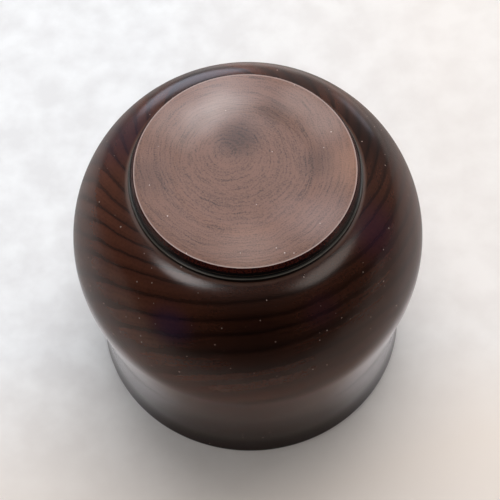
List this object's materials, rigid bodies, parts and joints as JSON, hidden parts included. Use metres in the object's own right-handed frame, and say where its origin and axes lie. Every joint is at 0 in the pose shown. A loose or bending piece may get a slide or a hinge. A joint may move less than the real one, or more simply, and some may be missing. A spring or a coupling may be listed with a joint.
{
  "type": "cup",
  "caption": "Footed lacquered wooden cup with a round belly, a drawn-in neck and a slightly flared rounded rim, for tea and other drinks.",
  "frame": {"origin": "centre of the foot's standing ring, on the table", "axes": "+Z along the turning axis towards the mouth; +X and +Y are any two square directions, because the cup is a body of revolution"},
  "size_m": [0.084, 0.084, 0.0766],
  "materials": {
    "lacquered_wood": "turned hardwood, dark brown lacquer rubbed into the grain and polished to a soft gloss",
    "foot_wood": "turned end grain, thin matt lacquer on the face, gloss on the side",
    "lacquer_putty": "black lacquer putty, turned and polished"
  },
  "bodies": {
    "root": {"cup_body": "lacquered_wood", "foot_disc": "foot_wood", "seam_ring": "lacquer_putty"}
  },
  "joints": []
}
